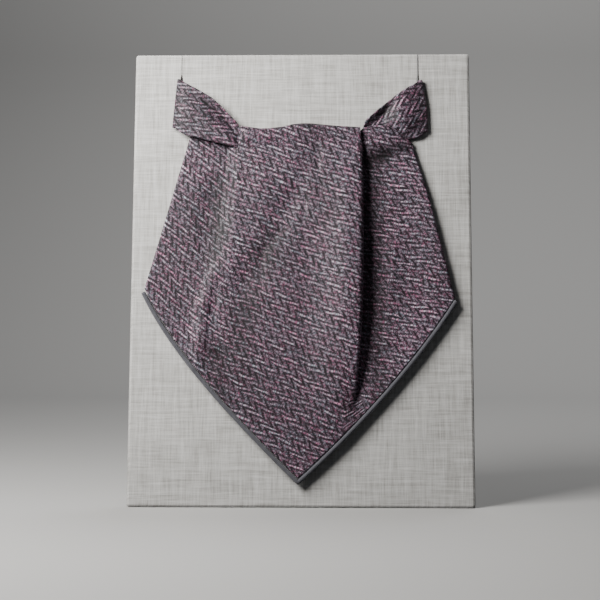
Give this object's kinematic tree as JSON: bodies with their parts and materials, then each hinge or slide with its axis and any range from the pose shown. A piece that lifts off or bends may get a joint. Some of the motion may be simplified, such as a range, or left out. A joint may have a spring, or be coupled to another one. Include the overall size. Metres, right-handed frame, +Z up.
{
  "type": "silk cravat on a display board",
  "caption": "Pleated day cravat with a pointed blade, corded lower edges and a band at the neck, dressed flat on a leaning linen display board.",
  "frame": {"origin": "middle of the flat underside of the board, on the table", "axes": "+Z up; -Y the way the cravat faces; +X to the right of someone who looks at it"},
  "size_m": [0.2, 0.0893, 0.2663],
  "materials": {
    "silk": "muted mauve herringbone silk with a soft sheen",
    "ribbed_binding": "grey ribbed cord, matt",
    "board_linen": "pale warm grey slubby linen wrapped on board, matt"
  },
  "bodies": {
    "root": {"apron": "silk", "ear_left": "silk", "ear_right": "silk", "neckband": "silk", "binding": "ribbed_binding", "board": "board_linen", "bracket_left": "board_linen", "bracket_right": "board_linen"}
  },
  "joints": []
}
